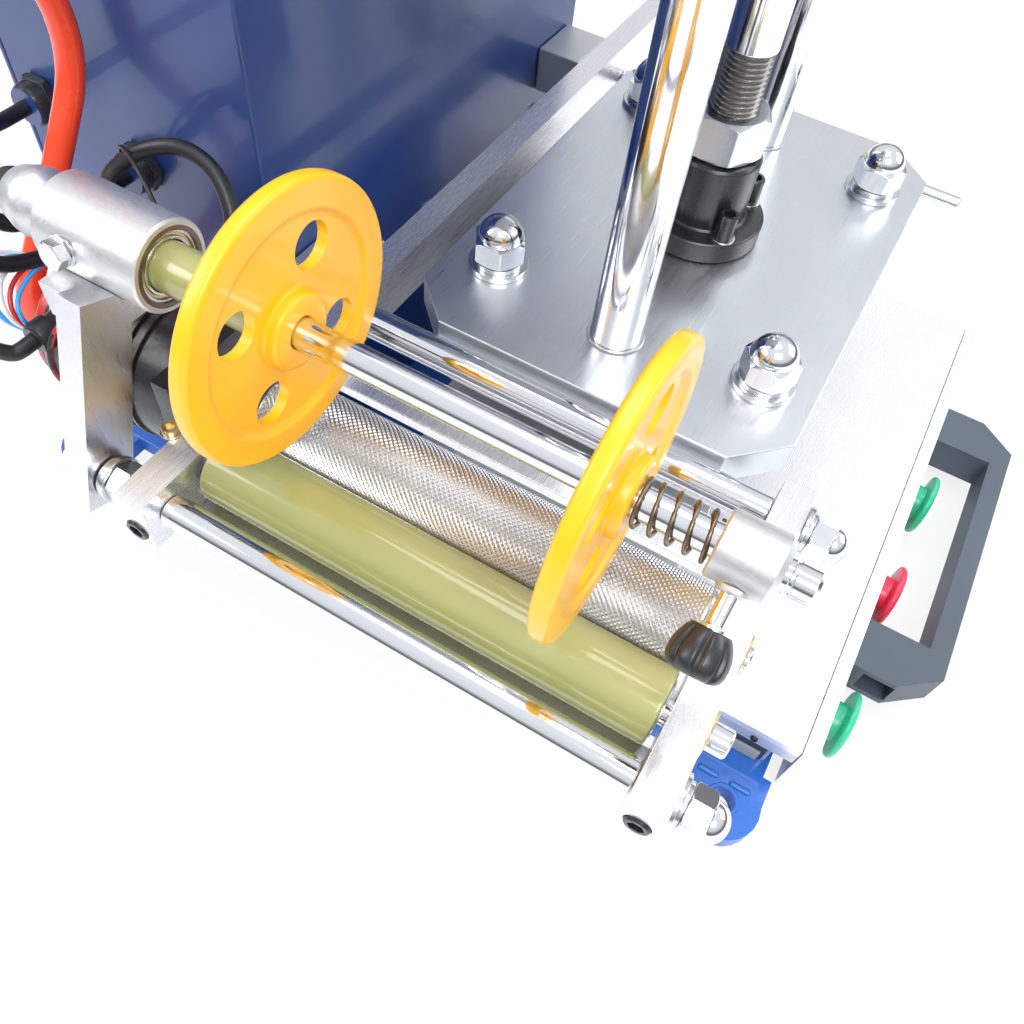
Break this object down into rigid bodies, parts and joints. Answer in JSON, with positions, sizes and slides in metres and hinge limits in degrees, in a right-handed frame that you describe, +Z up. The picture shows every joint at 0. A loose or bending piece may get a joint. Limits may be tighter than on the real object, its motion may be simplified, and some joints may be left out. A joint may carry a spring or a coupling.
{
  "type": "cup sealing machine",
  "caption": "Bench-top press that seals film onto cups in a sliding drawer, with a film supply reel, pull rollers, a rewind reel with a sprung disc, and an air cylinder.",
  "frame": {"origin": "on the base's underside, below the middle of the press plate", "axes": "+X along the film from the rewind reel to the supply reel, -Y towards the operator, +Z up"},
  "size_m": [0.775, 0.5433, 0.5023],
  "materials": {
    "blue_paint": "semi-gloss powder coat",
    "stainless": "brushed",
    "chrome": "polished",
    "aluminium": "satin",
    "black_metal": "black oxide",
    "yellow_plastic": "moulded",
    "amber_rubber": "smooth, slightly clear",
    "slate_plastic": "fine grain",
    "green_plastic": "moulded",
    "red_plastic": "moulded",
    "orange_hose": "extruded",
    "black_rubber": "smooth"
  },
  "bodies": {
    "frame": {"base_casting": "blue_paint", "tower_shell": "blue_paint", "tower_rear_cover": "blue_paint", "slide_rail_left": "black_metal", "slide_rail_right": "black_metal", "bridge_plate": "stainless", "guide_bush_left": "aluminium", "guide_bush_right": "aluminium", "cylinder_body": "aluminium", "arm_front": "stainless", "arm_back": "stainless", "arm_spacer_left": "aluminium", "arm_spacer_right": "aluminium", "cross_plate": "stainless", "lower_tie_bar": "stainless", "tie_rod": "chrome", "idler_rod": "chrome", "guide_rod": "chrome", "tie_rod_nut": "chrome", "idler_rod_nut": "chrome", "gear_motor": "black_metal", "motor_cover": "red_plastic", "bearing_housing": "aluminium", "housing_bearing": "stainless", "bearing_bracket": "stainless", "bracket_bolt": "stainless", "housing_end_knob": "black_metal", "air_hose": "orange_hose", "motor_cable": "black_rubber", "sensor_cable": "black_rubber"},
    "drawer": {"drawer_table": "stainless", "drawer_fascia": "stainless", "mould_plate": "aluminium", "drawer_handle": "slate_plastic"},
    "start_left": {"start_button_left": "green_plastic"},
    "stop": {"stop_button": "red_plastic"},
    "start_right": {"start_button_right": "green_plastic"},
    "press": {"press_plate": "stainless", "heater_block": "aluminium", "guide_column_left": "chrome", "guide_column_right": "chrome", "plate_nut_front_left": "chrome", "plate_nut_front_right": "chrome", "plate_nut_rear_left": "chrome", "plate_nut_rear_right": "chrome", "flange_coupling": "black_metal", "coupling_nut": "stainless", "piston_rod": "chrome"},
    "feed_roller": {"knurled_roller": "stainless"},
    "pinch_roller": {"rubber_roller": "amber_rubber"},
    "rewind_reel": {"rewind_spindle": "chrome", "rewind_disc_inner": "yellow_plastic", "spindle_sleeve": "amber_rubber"},
    "clamp_collar": {"spindle_collar": "aluminium", "spindle_spring": "black_metal"},
    "outer_disc": {"rewind_disc_outer": "yellow_plastic"},
    "clamp_screw": {"clamp_knob": "black_metal"},
    "supply_reel": {"supply_spindle": "chrome", "supply_disc_front": "yellow_plastic", "supply_disc_rear": "yellow_plastic"}
  },
  "joints": [
    {"name": "drawer_slide", "type": "slide", "parent": "frame", "child": "drawer", "axis": [0, -1, 0], "range_m": [0, 0.18]},
    {"name": "start_button_left_travel", "type": "slide", "parent": "drawer", "child": "start_left", "axis": [0, 1, 0], "range_m": [0, 0.004], "stiffness_N_per_m": 900, "springref_m": -0.002},
    {"name": "stop_button_travel", "type": "slide", "parent": "drawer", "child": "stop", "axis": [0, 1, 0], "range_m": [0, 0.004], "stiffness_N_per_m": 900, "springref_m": -0.002},
    {"name": "start_button_right_travel", "type": "slide", "parent": "drawer", "child": "start_right", "axis": [0, 1, 0], "range_m": [0, 0.004], "stiffness_N_per_m": 900, "springref_m": -0.002},
    {"name": "press_travel", "type": "slide", "parent": "frame", "child": "press", "axis": [0, 0, -1], "range_m": [0, 0.021], "stiffness_N_per_m": 8000, "springref_m": -0.04},
    {"name": "feed_spin", "type": "hinge", "parent": "frame", "child": "feed_roller", "pos_m": [-0.2205, 0, 0.162], "axis": [0, 1, 0], "continuous": true},
    {"name": "pinch_spin", "type": "hinge", "parent": "frame", "child": "pinch_roller", "pos_m": [-0.2568, 0, 0.162], "axis": [0, 1, 0], "continuous": true},
    {"name": "rewind_spin", "type": "hinge", "parent": "frame", "child": "rewind_reel", "pos_m": [-0.237, 0, 0.245], "axis": [0, 1, 0], "continuous": true},
    {"name": "clamp_travel", "type": "slide", "parent": "rewind_reel", "child": "clamp_collar", "axis": [0, 1, 0], "range_m": [-0.008, 0.06]},
    {"name": "disc_travel", "type": "slide", "parent": "clamp_collar", "child": "outer_disc", "axis": [0, -1, 0], "range_m": [0, 0.015], "stiffness_N_per_m": 400, "springref_m": -0.01, "deforming": ["spindle_spring"]},
    {"name": "clamp_screw_turn", "type": "hinge", "parent": "clamp_collar", "child": "clamp_screw", "pos_m": [-0.237, -0.0991, 0.245], "axis": [-0.8486, 0, -0.5291], "range_deg": [-180, 180]},
    {"name": "supply_spin", "type": "hinge", "parent": "frame", "child": "supply_reel", "pos_m": [0.418, 0, 0.222], "axis": [0, 1, 0], "continuous": true}
  ],
  "couplings": [
    {"joint": "pinch_spin", "follows": "feed_spin", "ratio": -1.25}
  ]
}
